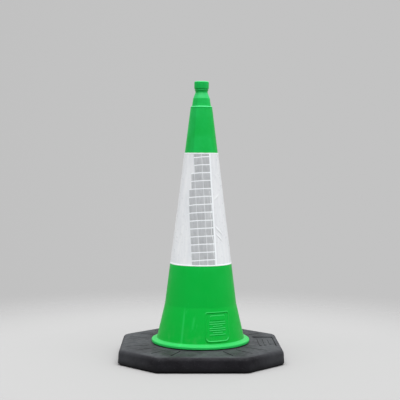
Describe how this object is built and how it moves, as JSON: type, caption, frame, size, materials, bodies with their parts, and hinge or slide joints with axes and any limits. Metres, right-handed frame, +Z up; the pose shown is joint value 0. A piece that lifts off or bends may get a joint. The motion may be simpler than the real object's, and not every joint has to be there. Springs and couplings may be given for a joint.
{
  "type": "traffic cone",
  "caption": "Tall green two-part traffic cone with a white reflective sleeve, lifting out of a heavy black octagonal base.",
  "frame": {"origin": "on the cone's axis, on the ground under the base", "axes": "+Z up the cone's axis, -Y the front, +X to the right"},
  "size_m": [0.5846, 0.5846, 1],
  "materials": {
    "base_black": "matt moulded recycled plastic",
    "cone_green": "satin moulded polyethylene",
    "backing_white": "smooth white sheet",
    "film_white": "glossy prismatic film with welded cells",
    "seam_white": "glossy welded strip"
  },
  "bodies": {
    "base": {"base": "base_black"},
    "cone_body": {"cone_body": "cone_green"},
    "sleeve": {"sleeve_backing": "backing_white", "reflective_film": "film_white", "sleeve_seam": "seam_white"}
  },
  "joints": [
    {"name": "body_lift", "type": "slide", "parent": "base", "child": "cone_body", "axis": [0, 0, 1], "range_m": [0, 0.058]},
    {"name": "sleeve_lift", "type": "slide", "parent": "cone_body", "child": "sleeve", "axis": [0, 0, 1], "range_m": [0, 0.665]}
  ]
}
